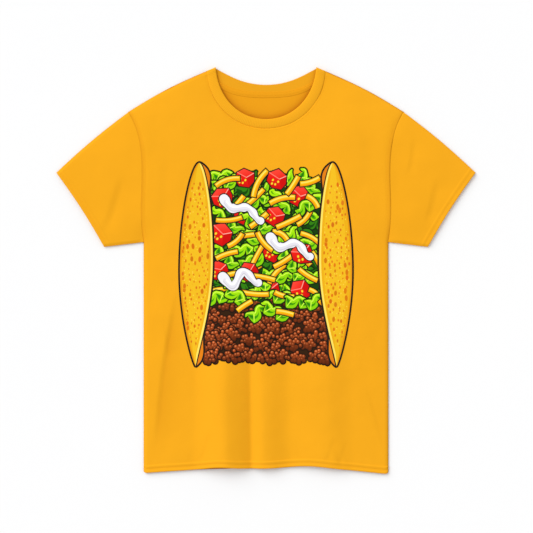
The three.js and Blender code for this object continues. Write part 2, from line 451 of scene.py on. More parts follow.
def makeSleeve(name, side):
    angle = np.arange(sleeve["turns"]) / sleeve["turns"] * tau
    cuff = 1 - sleeve["cuffShare"]
    along = stretches((0, cuff, sleeve["rows"]), (cuff, 1, sleeve["cuffRows"]))
    a, v = np.meshgrid(angle, along, indexing="ij")
    rise = 0.5 - 0.5 * np.cos(a)
    root = cubic(armholeCurve, rise) - [sleeve["overlap"], 0]
    hem = bowed(cut["sleeveCorner"], cut["sleeveTip"], rise, cut["cuffHollow"])
    plan = root * (1 - v)[..., None] + hem * v[..., None]
    plan = plan + (cut["sleeveBow"] * np.sin(math.pi * v) * rise)[..., None]
    x, y = plan[..., 0] * side, plan[..., 1]
    span = math.dist(cut["shoulder"], armholeCurve[0]) * (1 - v)
    span = span + math.dist(cut["sleeveTip"], cut["sleeveCorner"]) * v
    fromEdge = span * np.minimum(rise, 1 - rise)
    length = np.linalg.norm(hem - root, axis=-1)
    crown = lie["sleeve"] + (lie["cuff"] - lie["sleeve"]) * ease(v, 0.35, 1)
    crown = crown - creaseDrop(x, y) + 0.9 * cloudy(x, y, 60, 9.0)
    lip = lie["lip"] * roll(fromEdge / lie["lipRoll"])
    free = lie["edge"] + lip + (crown - lie["edge"] - lie["lip"]) * roll(fromEdge / lie["sleeveRoll"])
    seam = bodyHeight(root[..., 0], root[..., 1])
    upper = seam + (free - seam) * roll(length * v / sleeve["joinRoll"])
    upper = upper + sleeve["pressed"] * hemWork(length * (1 - v)) * roll(np.sin(a) * 3)
    lower = lie["edge"] - (lie["edge"] - 0.3) * roll(fromEdge / 12)
    grid = np.dstack([x, y, np.where(a <= math.pi, upper, lower)])
    return wall(name, grid[::-side], sleeve["thickness"], closed=True)


sleevePieces = [makeSleeve("sleeveLeft", -1), makeSleeve("sleeveRight", 1)]
print("sleeves made")

collar = {
    "thickness": 1.3,
    "ribPitch": 2.7,
    "ribDepth": 0.2,
    "low": 0.5,             # height of the rear part's underside
    "seamFold": 0.3,        # how far the ring bulges past the neck's tips, at its seam and at its rim
    "rimFold": 2.6,
    "count": 420,
    # painted shade over the rear part, where it lies under the front
    "shade": 0.25,
}


def ringCurve(curves, radius, high):
    # one edge of the collar, round the front from left to right and back behind, with its heights
    frontCurve, backCurve = curves
    k = np.linspace(-1, 1, collar["count"])
    bend = np.linspace(0.12, 0.88, 6) * math.pi
    low, tip = collar["low"], np.array(frontCurve[-1])
    out = leftOf(cut["neckTip"], cut["neckSeam"])
    frontPart, backPart = mirrored(frontCurve, k), mirrored(backCurve, -k)
    pieces = [np.column_stack([frontPart, high(frontPart[:, 0], frontPart[:, 1])])]
    top = pieces[0][-1, 2]
    for side, angles in ((1, bend), (-1, bend[::-1])):
        spots = tip + out * radius * np.sin(angles)[:, None]
        heights = low + (top - low) * (1 + np.cos(angles)) / 2
        pieces.append(np.column_stack([spots[:, 0] * side, spots[:, 1], heights]))
        if side > 0:
            pieces.append(np.column_stack([backPart, np.full(len(k), low)]))
    return np.concatenate(pieces)


def makeCollar():
    lowest = collar["low"] + 2 * collar["thickness"] + 0.3

    def over(rise, least):
        # a height above the front's cloth, and no less than the rear part needs under it
        return lambda x, y: np.maximum(bodyHeight(x, y) + rise, least)

    seam = ringCurve((frontSeamCurve, backSeamCurve), collar["seamFold"], over(0.25, lowest))
    rim = ringCurve((frontRimCurve, backRimCurve), collar["rimFold"], over(1.1, lowest + 0.7))
    k = np.linspace(0, 1, 20)
    grid = seam[:, None] + (rim - seam)[:, None] * k[None, :, None]
    arc = 0.8 * np.sin(math.pi * k) - 0.35 * (1 - roll(k / 0.16)) - 0.9 * (1 - roll((1 - k) / 0.08))
    ribs = collar["ribDepth"] * np.sin(tau * distanceAlong(rim) / collar["ribPitch"])[:, None]
    ribs = ribs * roll(k / 0.1) * roll((1 - k) / 0.1)
    upper = (np.arange(len(grid)) < collar["count"])[:, None]
    grid[..., 2] += np.where(upper, arc[None] + ribs, 0)
    piece = wall("neckRib", grid, collar["thickness"], closed=True)
    inside = rimDistance(grid[..., 0], grid[..., 1])
    # painted shade on the rear part, deepest under the front's rim
    paintShade(piece, (collar["shade"] + 0.75 * np.exp(-inside / 4.0)) * ease(inside, 0, 1) * ~upper)
    return piece


collarPiece = makeCollar()
print("collar made")

tape = {"thickness": 0.5, "above": 6.5, "below": 4.5, "stands": 0.45, "reach": 0.86, "rows": (-1.0, 4.2)}


def makeTape():
    seam = mirrored(backSeamCurve, np.linspace(-tape["reach"], tape["reach"], 120))
    place = np.linspace(0, 1, 16)
    rise = tape["above"] - (tape["above"] + tape["below"]) * (1 - place)
    plan = seam[:, None] + np.stack([0 * rise, rise], -1)
    sewn = 0.2 * (hump(place, 0.3, 0.08) + hump(place, 0.8, 0.08))
    rounded = 0.3 * (2 - roll(place / 0.2) - roll((1 - place) / 0.2))
    ribTop = collar["low"] + collar["thickness"]
    step = back["lies"] + (ribTop - back["lies"]) * ease(rise, -3.5, 0.5)
    height = np.broadcast_to(step + tape["stands"] - sewn - rounded, plan.shape[:2])
    piece = wall("neckTape", np.dstack([plan, height]), tape["thickness"])
    # painted shadow on the tape under the front's neck rim
    paintShade(piece, 0.75 * np.exp(-rimDistance(plan[..., 0], plan[..., 1]) / 5.0))
    return piece


tapePiece = makeTape()
print("neck tape made")


class Wire:
    # a shader socket that can stand in a sum
    def __init__(self, maker, socket):
        self.maker = maker
        self.socket = socket

    def maths(self, operation, first, second=0.0):
        return self.maker.node("ShaderNodeMath", {"operation": operation}, {0: first, 1: second})

    def __add__(self, other):
        return self.maths("ADD", self, other)

    def __radd__(self, other):
        return self.maths("ADD", other, self)

    def __mul__(self, other):
        return self.maths("MULTIPLY", self, other)

    def __rmul__(self, other):
        return self.maths("MULTIPLY", other, self)

    def sine(self):
        return self.maths("SINE", self)


class Finish:
    # one material and the nodes it is built from
    def __init__(self, name):
        self.material = bpy.data.materials.new(name)
        self.material.use_nodes = True
        self.tree = self.material.node_tree
        self.shader = self.tree.nodes["Principled BSDF"]

    def node(self, kind, settings=None, values=None, out=0):
        made = self.tree.nodes.new(kind)
        for name, value in (settings or {}).items():
            setattr(made, name, value)
        for name, value in (values or {}).items():
            if isinstance(value, Wire):
                self.tree.links.new(value.socket, made.inputs[name])
            else:
                made.inputs[name].default_value = value
        return Wire(self, made.outputs[out])

    def mix(self, share, first, second, blend="MIX"):
        settings = {"data_type": "RGBA", "blend_type": blend}
        return self.node("ShaderNodeMix", settings, {0: share, 6: first, 7: second}, 2)

    def speckle(self, size, detail=2.0, rough=0.5):
        # cloudy noise whose blotches are about size metres across
        place = self.node("ShaderNodeTexCoord", out=3)
        values = {"Vector": place, "Scale": 1 / size, "Detail": detail, "Roughness": rough}
        return self.node("ShaderNodeTexNoise", {}, values)

    def feed(self, **sockets):
        for name, value in sockets.items():
            socket = self.shader.inputs[name.replace("_", " ")]
            if isinstance(value, Wire):
                self.tree.links.new(value.socket, socket)
            else:
                socket.default_value = value


jersey = {
    "face": (250, 174, 29),
    "inside": (243, 163, 24),
    "rib": (250, 175, 31),
    "strength": 0.885,       # how much of the light the cloth gives back
    # painted shade: the tint the cloth is multiplied by where it is drawn as lying in shade
    "paintedShade": (0.72, 0.60, 0.50, 1),
    "wale": 1.1,
    "course": 0.85,
}


def knitFinish(name, tint, depth=0.12):
    finish = Finish(name)
    place = finish.node("ShaderNodeTexCoord", out=3)
    x = finish.node("ShaderNodeSeparateXYZ", {}, {0: place}, 0)
    y = finish.node("ShaderNodeSeparateXYZ", {}, {0: place}, 1)
    wales = (x * (tau / (jersey["wale"] * mm))).sine()
    courses = (y * (tau / (jersey["course"] * mm)) + wales * 1.4).sine()
    cloud = finish.speckle(0.06)
    fuzz = finish.speckle(0.0016, 3.0, 0.7)
    base = colour(tint) * jersey["strength"]
    light = tuple(np.minimum(base * 1.03, 1)) + (1.0,)
    dark = tuple(base * 0.95) + (1.0,)
    shade = finish.mix(cloud * 0.6 + fuzz * 0.4, dark, light)
    # painted shade: the base colour darkened by the stored shade, in hollows, creases and under the neck rim
    paintedShade = finish.node("ShaderNodeAttribute", {"attribute_name": "paintedShade"}, {}, 2)
    shade = finish.mix(paintedShade, shade, finish.mix(1.0, shade, jersey["paintedShade"], "MULTIPLY"))
    relief = wales * 0.5 + courses * 0.3 + fuzz
    bump = finish.node("ShaderNodeBump", {}, {"Height": relief, "Distance": depth * mm, "Strength": 0.35})
    finish.feed(Base_Color=shade, Roughness=0.8 + fuzz * 0.15, Normal=bump, Specular_IOR_Level=0.06)
    return finish.material


faceFinish = knitFinish("jerseyFace", jersey["face"])
insideFinish = knitFinish("jerseyInside", jersey["inside"])
ribFinish = knitFinish("ribKnit", jersey["rib"])

for piece, finish, slotName, node in (
    (frontPiece, faceFinish, "jersey", "front_panel"),
    (backPiece, insideFinish, "jersey_inside", "back_panel"),
    (sleevePieces[0], faceFinish, "jersey", "sleeve_left"),
    (sleevePieces[1], faceFinish, "jersey", "sleeve_right"),
    (collarPiece, ribFinish, "rib", "collar"),
    (tapePiece, insideFinish, "jersey_inside", "neck_tape"),
):
    piece.data.materials.append(finish)
    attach(piece, "root")
    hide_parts(node)
print("finishes made")

# The print on the chest: two sides of a shell and the filling between, drawn as plain overlapping shapes
drawing = {
    "seed": 11,
    "line": 1.9,            # how far a dark outline stands out round a shape
    "edge": 3.5,            # the longest edge of an outline
    "mesh": 5.0,            # how far apart the points of the film lie inside the shapes
    "film": 0.24,           # how high the ink lies on the cloth
}
dice = random.Random(drawing["seed"])
layers = []                 # from the first printed to the last: outline, ink, points where the ink changes


def plainInk(tint):
    return lambda points: np.broadcast_to(colour(tint), (len(points), 3))


def mixedInk(near, far, share):
    # an ink that runs from one colour to another, by the share that is worked out for each point
    def tint(points):
        k = np.clip(share(points), 0, 1)[:, None]
        return colour(near) * (1 - k) + colour(far) * k

    return tint


def fadeInk(near, far, start, end):
    # one colour at start, running into another by end
    start, run = np.array(start, float), np.subtract(end, start)
    return mixedInk(near, far, lambda points: (points - start) @ run / (run @ run))


def glowInk(middle, edge, centre, radius):
    return mixedInk(middle, edge, lambda points: np.linalg.norm(points - centre, axis=1) / radius)


def lay(outline, ink, extra=()):
    # ink is a colour or a function of places; long edges are cut up, so that each part shows or hides alone
    outline = np.array(outline, float)
    edges = np.roll(outline, -1, 0) - outline
    parts = np.ceil(np.hypot(*edges.T) / drawing["edge"]).astype(int).clip(1)
    start = np.repeat(np.arange(len(outline)), parts)
    place = np.arange(len(start)) - np.repeat(np.cumsum(parts) - parts, parts)
    outline = outline[start] + edges[start] * (place / parts[start])[:, None]
    layers.append((outline, plainInk(ink) if isinstance(ink, tuple) else ink, list(extra)))


def normals(path):
    run = unit(np.gradient(path, axis=0))
    return run, np.column_stack([-run[:, 1], run[:, 0]])


def band(path, halfWidth, roundEnds=False):
    # the outline of a strip that follows a path; halfWidth may be one number, one for each point, or a pair
    path = np.array(path, float)
    run, left = normals(path)
    pair = halfWidth if isinstance(halfWidth, tuple) else (halfWidth, halfWidth)
    leftHalf, rightHalf = (np.broadcast_to(np.asarray(half, float), len(path))[:, None] for half in pair)
    sides = [path + left * leftHalf, (path - left * rightHalf)[::-1]]
    if not roundEnds:
        return np.concatenate(sides)
    turn = np.linspace(0, math.pi, 12)[1:-1, None]
    caps = []
    for at, way in ((-1, 1), (0, -1)):
        reach = (leftHalf[at] + rightHalf[at]) / 2
        caps.append(path[at] + way * (left[at] * reach * np.cos(turn) + run[at] * reach * np.sin(turn)))
    return np.concatenate([sides[0], caps[0], sides[1], caps[1]])


def grown(path, by):
    # a path made longer at both ends
    path = np.array(path, float)
    start = path[0] + unit(path[0] - path[1]) * by
    end = path[-1] + unit(path[-1] - path[-2]) * by
    return np.vstack([start, path[1:-1], end])


def outset(outline, by):
    # a closed outline, drawn clockwise or not, pushed outwards by an even margin
    ahead, behind = np.roll(outline, -1, 0) - outline, outline - np.roll(outline, 1, 0)
    turning = np.sum(outline[:, 0] * ahead[:, 1] - outline[:, 1] * ahead[:, 0])
    way = 0
    for edges in (ahead, behind):
        lengths = np.linalg.norm(edges, axis=1, keepdims=True) + 1e-9
        way = way + np.column_stack([edges[:, 1], -edges[:, 0]]) / lengths
    way = way / np.maximum(np.linalg.norm(way, axis=1, keepdims=True), 0.6)
    return outline + way * by * np.sign(turning)


def turned(along, across, middle, angle):
    # points given along and across a slanting line through middle
    c, s = math.cos(angle), math.sin(angle)
    return np.column_stack([middle[0] + along * c - across * s, middle[1] + along * s + across * c])


def roundSpot(centre, across, high, lean=0.0, count=10):
    turn = np.arange(count) / count * tau
    return turned(np.cos(turn) * across, np.sin(turn) * high, centre, lean)


lineInk = (40, 32, 26)
meat = {
    "top": -34, "bottom": -155, "left": -118, "right": 120,
    "rows": 7, "perRow": 8, "crumbs": 14,
    "lump": (14, 10.5),     # how far a lump's crumbs reach across and upwards
    "gap": (54, 34, 18),
    "edge": (42, 26, 18),
    "body": ((112, 48, 20), (206, 94, 42)),     # a crumb's inks at the foot and at the top of its lump
    "rim": ((74, 33, 16), (146, 62, 26)),
    "shine": ((170, 90, 48), (240, 164, 110)),
}


def drawMeat():
    left, right, under = meat["left"], meat["right"], meat["bottom"] - 4.5
    lay([(left, 40), (right, 40), (right - 6, under), (left + 6, under)], meat["gap"])
    width, height = (right - left) / meat["perRow"], (meat["top"] - meat["bottom"]) / meat["rows"]
    lumps = []
    for row in range(meat["rows"] + 1):
        for place in range(meat["perRow"] + row % 2):
            x = left + (place + 0.5 - 0.5 * (row % 2)) * width + dice.uniform(-4, 4)
            shift = (-6, 6) if row < meat["rows"] else (-2, 3)
            y = meat["top"] - row * height + dice.uniform(*shift)
            lumps.append((min(max(x, left + 12), right - 12), y))
    for x, y in sorted(lumps, key=lambda lump: -lump[1]):
        drawCrumbs((x, y), dice.uniform(0.95, 1.2))


def between(low, high, k):
    # a colour part of the way from one to another
    return [int(a + (b - a) * k) for a, b in zip(low, high)]


def drawCrumbs(middle, size):
    # a lump of small round crumbs, brightest at the top of the lump, with a dark edge all round
    wide, tall = meat["lump"]
    spots = []
    for crumb in range(meat["crumbs"]):
        turn = crumb * 2.4 + dice.uniform(-0.4, 0.4)
        reach = math.sqrt(crumb / meat["crumbs"])
        x = middle[0] + wide * size * reach * math.cos(turn)
        y = middle[1] + tall * size * reach * math.sin(turn)
        spots.append((x, y, dice.uniform(3.1, 4.1) - 0.5 * math.sin(turn) * reach))
    for x, y, radius in spots:
        lay(roundSpot((x, y - 0.4), radius + 2.1, radius + 2.1, 0, 12), meat["edge"])
    for x, y, radius in sorted(spots, key=lambda spot: spot[1]):
        high = min(max((y - middle[1]) / (10 * size) * 0.5 + 0.5, 0), 1)
        body, rim, lit = (between(*meat[part], high) for part in ("body", "rim", "shine"))
        ink = glowInk(body, rim, (x, y + 0.3 * radius), radius * 1.1)
        lay(roundSpot((x, y), radius, radius, dice.uniform(0, 1), 12), ink)
        if high > 0.3:
            shine = (x - 0.1 * radius, y + 0.35 * radius)
            spot = roundSpot(shine, radius * 0.5, radius * 0.42, 0.3, 7)
            lay(spot, glowInk(lit, body, shine, radius * 0.5), [shine])


leaf = {
    "wave": 24.0,           # how far apart its lobes are
    "swing": 3.6,
    "crest": 3.8,
    "skirt": 11.5,
    "points": 46,
    "edge": (24, 44, 16),
    "face": ((174, 236, 18), (136, 210, 14)),
    "pocket": (74, 162, 14),
    "deep": (40, 120, 14),
    "crestLight": (216, 250, 80),
    "pleat": (206, 248, 70),
    "shaded": (52, 126, 20),
    "shadedPocket": (24, 74, 14),
}


def saw(turn):
    # a wave from 0 to 1 with pointed tips
    return 0.5 + np.arcsin(np.sin(turn)) / math.pi


def drawLeaf(middle, length, angle, bright=True):
    # a frilled strip of lettuce: pointed lobes along its lower side, each with a pleat and a shaded pocket
    k = np.linspace(-1, 1, leaf["points"])
    turn = k * math.pi * length / leaf["wave"] + dice.uniform(0, tau)
    bend = dice.uniform(-6, 6)
    swing = leaf["swing"] * (0.5 * np.sin(turn) + saw(turn) - 0.5)
    path = turned(k * length / 2, bend * (1 - k * k) + swing, middle, angle)
    left = normals(path)[1]
    lobes, pocket = saw(turn + 3.8) ** 1.5, saw(turn + 4.7) ** 1.3
    taper = np.sqrt(np.clip(1 - np.abs(k) ** 4, 0.06, 1))
    crest = taper * leaf["crest"] * (0.85 + 0.5 * saw(2 * turn + 0.8))
    skirt = taper * leaf["skirt"] * (0.35 + 1.1 * lobes)
    line = 1.4 * drawing["line"]

    def strip(shift, half, trim, tint):
        # a strip along the leaf, off its middle line and a few points short of its ends
        inside = slice(trim, len(k) - trim)
        lay(band((path + left * shift[:, None])[inside], half[inside]), leaf[tint])

    lay(band(path, (crest + line, skirt + line), True), leaf["edge"])
    if not bright:
        lay(band(path, (crest, skirt), True), leaf["shaded"])
        strip(-skirt * 0.5, skirt * 0.36 * saw(turn + 4.6), 0, "shadedPocket")
        return
    above, below = np.array(middle) + (0, 13), np.array(middle) - (0, 13)
    lay(band(path, (crest, skirt), True), fadeInk(*leaf["face"], above, below))
    strip(-skirt * 0.42, skirt * 0.34 * pocket, 2, "pocket")
    strip(-skirt * 0.4, skirt * 0.17 * pocket ** 2, 4, "deep")
    strip(crest * 0.42, taper * 0.75, 3, "crestLight")
    for at in range(4, len(k) - 4):
        if lobes[at] >= max(lobes[at - 1], lobes[at + 1]):
            pleat = [path[at] - left[at] * skirt[at] * down for down in (0, 0.5, 0.88)]
            lay(band(pleat, np.array([1.1, 0.9, 0.4])), leaf["pleat"])


cheese = {"half": (4.0, 4.7), "face": (248, 190, 12), "light": (255, 226, 104), "shade": (240, 154, 18)}


def drawCheese(middle, length, angle, sag):
    k = np.linspace(-1, 1, 9)
    path = turned(k * length / 2, sag * (1 - k * k), middle, angle)
    half = dice.uniform(*cheese["half"])
    left = normals(path)[1]
    up = left * np.where(left[:, 1] > 0, 1, -1)[:, None]
    lay(band(grown(path, drawing["line"]), half + drawing["line"]), lineInk)
    lay(band(path, half), cheese["face"])
    lay(band(grown(path, -1.6) + up * half * 0.36, half * 0.26), cheese["light"])
    lay(band(grown(path, -0.2) - up * half * 0.72, half * 0.26), cheese["shade"])


tomato = {
    # its outline and its near corner, as shares of its size, and how far they stray
    "rim": ((-0.52, 0.1), (-0.2, 0.5), (0.36, 0.42), (0.56, 0.02), (0.42, -0.42), (-0.1, -0.52),
            (-0.46, -0.3)),
    "corner": (0.1, 0.06),
    "uneven": 0.04,
    "front": ((240, 34, 24), (206, 18, 16)),
    "top": ((250, 74, 58), (236, 38, 28)),
    "side": (206, 18, 16),
    "ridges": ((250, 130, 112), (254, 176, 160)),
    "seeds": ((-0.2, -0.14), (0.02, -0.3), (0.1, -0.1), (-0.16, -0.34)),
    "seedEdge": (196, 84, 20),
    "seed": (252, 212, 50),
}


def drawTomato(middle, size, lean):
    # a cube of tomato seen from one corner: a lit top, a front with seeds and a darker side
    def place(spot, grow=1.0):
        x, y = np.multiply(spot, size * grow)
        return tuple(turned(np.array([x]), np.array([y]), middle, lean)[0])

    loose, corner = tomato["uneven"], tomato["corner"]
    rim = [(x + dice.uniform(-loose, loose), y + dice.uniform(-loose, loose)) for x, y in tomato["rim"]]
    wide = 1 + 2.1 * drawing["line"] / size
    lay([place(spot, wide) for spot in rim], lineInk)
    lay([place(spot) for spot in rim], fadeInk(*tomato["front"], place((0, 0.1)), place((0, -0.5))))
    top = [place(spot) for spot in (*rim[:3], corner)]
    lay(top, fadeInk(*tomato["top"], place((-0.3, 0.5)), place(corner)))
    lay([place(spot) for spot in (corner, *rim[2:5])], tomato["side"])
    lay(band([place(rim[0]), place(corner)], 0.024 * size), tomato["ridges"][0])
    lay(band([place(corner), place(rim[2])], 0.02 * size), tomato["ridges"][1])
    for seed in tomato["seeds"]:
        lay(roundSpot(place(seed), 0.075 * size, 0.09 * size, lean, 9), tomato["seedEdge"])
        lay(roundSpot(place(seed), 0.055 * size, 0.07 * size, lean, 9), tomato["seed"])


cream = {
    "face": (240, 239, 244),
    # strips along it: how far down, how broad, how short of its ends, and their ink
    "strips": (
        (0.5, 0.32, 2, (208, 205, 214)),
        (0.2, 0.3, 2, (228, 226, 234)),
        (-0.4, 0.2, 4, (255, 255, 255)),
    ),
    # each piece's middle, length, slant, wave and half its width
    "placed": (
        ((-42, 110), 76, -0.42, 6, 6.8),
        ((44, 44), 78, -0.3, 8, 6.9),
        ((-46, -14), 62, 0.12, 12, 6.9),
    ),
}


def drawCream(middle, length, angle, wave, half):
    k = np.linspace(-1, 1, 44)
    path = turned(k * length / 2, wave * np.sin(k * 4.3 + 0.6), middle, angle)
    reach = half * (1 + 0.16 * np.sin(k * 13 + 1) - 0.18 * k)
    lay(band(path, reach + drawing["line"], True), lineInk)
    lay(band(path, reach, True), cream["face"])
    for down, share, trim, tint in cream["strips"]:
        inside = slice(trim, -trim)
        lay(band((path - [0, half * down])[inside], reach[inside] * share, True), tint)


filling = {
    "reach": 94,            # half its width, and the same between the shell's tips
    "tipReach": 104,
    "top": 188,
    "bottom": -46,
    "ground": (24, 64, 16),
    "shadedLeaves": 38,
    "hangingLeaves": 6,
    # what is laid first, six times over, and seven times over on top
    "first": ["leaf"] * 26,
    "then": ["tomato"] + ["cheese"] * 2 + ["leaf"] * 2,
    "last": ["tomato"] + ["cheese"] * 3,
}


def fillingPlace(step, length, angle):
    # one of the evenly scattered places, kept clear of the shell's narrow tips
    u, v = (0.5 + step * 0.7549) % 1, (0.5 + step * 0.5698) % 1
    y = filling["bottom"] + (filling["top"] - filling["bottom"]) * v
    reach = filling["reach"] + (filling["tipReach"] - filling["reach"]) * float(ease(y, 120, 170))
    room = 118 - 0.5 * length * abs(math.cos(angle)) if y > 140 else reach
    x = reach * (2 * u - 1)
    return min(max(x, -room), room), min(y, filling["top"] + 6 - 0.5 * length * abs(math.sin(angle)))


def drawFilling():
    reach, top, bottom = filling["reach"] + 18, filling["top"], filling["bottom"]
    wavy = [(x, bottom - 4 + 7 * math.sin(x * 0.13)) for x in np.linspace(reach, -reach, 30)]
    rounded = [(-reach, top - 40), (22 - reach, top - 26), (reach - 22, top - 26), (reach, top - 40)]
    lay(rounded + wavy, filling["ground"])
    for step in range(filling["shadedLeaves"]):
        length, angle = dice.uniform(32, 46), dice.uniform(-1.3, 1.3)
        x, y = fillingPlace(step + 40, length, angle)
        drawLeaf((x, min(y, top - 26)), length, angle, False)
    steps = {"leaf": 3, "cheese": 17, "tomato": 8}      # where each kind starts among the scattered places
    for kind in filling["first"] + filling["then"] * 6 + filling["last"] * 7:
        step = steps[kind]
        steps[kind] += 1
        if kind == "leaf":
            length, angle = dice.uniform(44, 68), dice.uniform(-1.0, 0.8)
            drawLeaf(fillingPlace(step, length, angle), length, angle)
        elif kind == "cheese":
            length, angle = dice.uniform(28, 56), dice.uniform(-1.1, 1.1)
            drawCheese(fillingPlace(step, length, angle), length, angle, dice.uniform(-4, 6))
        else:
            size = dice.uniform(30, 37)
            drawTomato(fillingPlace(step, size, 0.8), size, dice.uniform(-0.75, 0.75))
    for step in range(filling["hangingLeaves"]):
        x = -88 + step * 36
        drawLeaf((x, bottom - 6 + dice.uniform(-18, 10)), dice.uniform(42, 60), dice.uniform(-1.1, 0.8))
        if step % 2:
            drawCheese((x + 14, bottom - 24 + dice.uniform(-10, 8)), 32, dice.uniform(-0.9, 0.7), 1)
    for placed in cream["placed"]:
        drawCream(*placed)


def spread(count, pick):
    # places that keep clear of one another: of a few random picks, the one farthest from those before it
    kept = []
    for step in range(count):
        picks = [pick() for attempt in range(8)]
        gaps = [min((math.dist(spot[:2], other[:2]) for other in kept), default=0) for spot in picks]
        kept.append(picks[gaps.index(max(gaps))])
    return kept


shell = {
    "top": (119.5, 193.0),
    "bottom": (126.0, -171.5),
    "outer": 153.6,
    "inner": 94.5,
    "middle": 122.0,
    "sharper": {"outer": 0.23, "inner": 0.55},      # how much more pointed each edge is at the bottom
    "flecks": 240,
    "spots": 116,
    "spotSizes": (0.7, 0.8, 0.9, 1.1, 1.3, 1.7, 2.5),
    "fleckTints": ((240, 170, 32), (254, 212, 76)),
    "spotRim": (236, 160, 34),
    "fold": (226, 128, 24),
    "lip": (252, 226, 100),
    # from the darker edge to the paler middle: how far in from the outer and inner edges, and the ink
    "bands": ((0, 0.2, (230, 150, 20)), (2.6, 4, (235, 175, 26)), (9, 8, (240, 188, 34))),
}


def drawShell(side):
    y = 0.5 - 0.5 * np.cos(np.linspace(0, math.pi, 56))
    top, bottom, line = shell["top"], shell["bottom"], drawing["line"]
    height = top[1] + (bottom[1] - top[1]) * y
    straight = top[0] + (bottom[0] - top[0]) * y
    lower = ease(y, 0.3, 0.7)
    bows = {way: np.sin(math.pi * y) ** (0.55 + more * lower) for way, more in shell["sharper"].items()}
    width = sum(abs(shell[way] - shell["middle"]) * bow for way, bow in bows.items())

    def edge(way, inset=0.0):
        # one long edge between the tips, set in by no more than the shell's width allows
        bulge = (shell[way] - shell["middle"]) * bows[way]
        inset = np.sign(inset) * np.minimum(abs(inset), 0.3 * width)
        return np.column_stack([side * (straight + bulge + inset), height])

    def fill(first, second, tint):
        lay(np.concatenate([first, second[::-1]]), tint)

    def within(near, far):
        # a place on the shell, kept off its inner and outer edges, and the room it has
        at = math.acos(dice.uniform(-0.95, 0.95)) / math.pi
        first, last = (float(np.interp(at, y, rim[:, 0])) for rim in (inner, outer))
        room = (last - first) * side - near - far
        return first + side * (near + room * dice.uniform(0, 1)), top[1] + (bottom[1] - top[1]) * at, room

    outer, inner = edge("outer"), edge("inner")
    curl = 8.0 * hump(y, 0.055, 0.06) + 8.5 * hump(y, 0.95, 0.07)
    curl = curl * np.sqrt(np.clip(40 * np.minimum(y, 1 - y), 0, 1))
    fold = np.column_stack([inner[:, 0] - side * curl, height])
    lay(outset(np.concatenate([outer, fold[::-1]]), line * 1.7), lineInk)
    fill(outer, fold, shell["fold"])
    lay(np.concatenate([outer, (inner - [side * line, 0])[::-1]]), lineInk)
    for far, near, tint in shell["bands"]:
        fill(edge("outer", -far), edge("inner", near), tint)
    fill(edge("inner", 3.8), edge("inner", 0.4), shell["lip"])
    for step, (*centre, room) in enumerate(spread(shell["flecks"], lambda: within(8, 5))):
        # a fine grain, by turns warmer and paler
        fleck = roundSpot(centre, 0.8, dice.uniform(0.9, 1.6), dice.uniform(-0.4, 0.4), 6)
        lay(fleck, shell["fleckTints"][step % 2])
    for *centre, room in spread(shell["spots"], lambda: within(7.5, 4)):
        size = min(dice.choice(shell["spotSizes"]), 0.4 + room * 0.07)
        tall = size * dice.uniform(1.6, 2.3)
        tint = dice.randint(208, 224), dice.randint(108, 126), dice.randint(14, 26)
        lean = dice.uniform(-0.1, 0.1)
        lay(roundSpot(centre, size + 0.7, tall + 0.7, lean, 9), shell["spotRim"])
        lay(roundSpot(centre, size, tall, lean, 9), tint)


def covers(outline, points):
    # which points lie inside an outline, counting how often it winds round each of them
    x, y = points[:, 0, None], points[:, 1, None]
    x1, y1 = outline[:, 0], outline[:, 1]
    x2, y2 = np.roll(x1, -1), np.roll(y1, -1)
    turn = (x2 - x1) * (y - y1) - (x - x1) * (y2 - y1)
    up = (y1 <= y) & (y2 > y) & (turn > 0)
    down = (y1 > y) & (y2 <= y) & (turn < 0)
    return up.sum(1) != down.sum(1)


def topLayer(points, below=None):
    # the topmost layer over each point; with below, only layers above that one count
    found = np.full(len(points), -1)
    x, y = points.T.copy()
    for number, layer in enumerate(layers):
        outline = layer[0]
        (left, low), (right, high) = outline.min(0), outline.max(0)
        near = (x >= left) & (x <= right) & (y >= low) & (y <= high)
        if below is not None:
            near &= below < number
        near = np.nonzero(near)[0]
        found[near[covers(outline, points[near])]] = number
    return found


def onlyUsed(points, faces):
    # the points that the faces use, and the faces numbered to match
    used = np.unique(faces)
    renumber = np.full(len(points), -1)
    renumber[used] = np.arange(len(used))
    return points[used], renumber[faces]


def shownEdges():
    # the outlines' points and edges, without what later layers hide
    outlines = [layer[0] for layer in layers]
    counts = [len(outline) for outline in outlines]
    points = np.concatenate(outlines)
    edges = []
    for start, count in zip(np.cumsum([0] + counts), counts):
        own = start + np.arange(count)
        edges.append(np.column_stack([own, np.roll(own, -1)]))
    edges = np.concatenate(edges)
    hidden = topLayer(points, np.repeat(np.arange(len(outlines)), counts)) >= 0
    return onlyUsed(points, edges[~hidden[edges].all(1)])


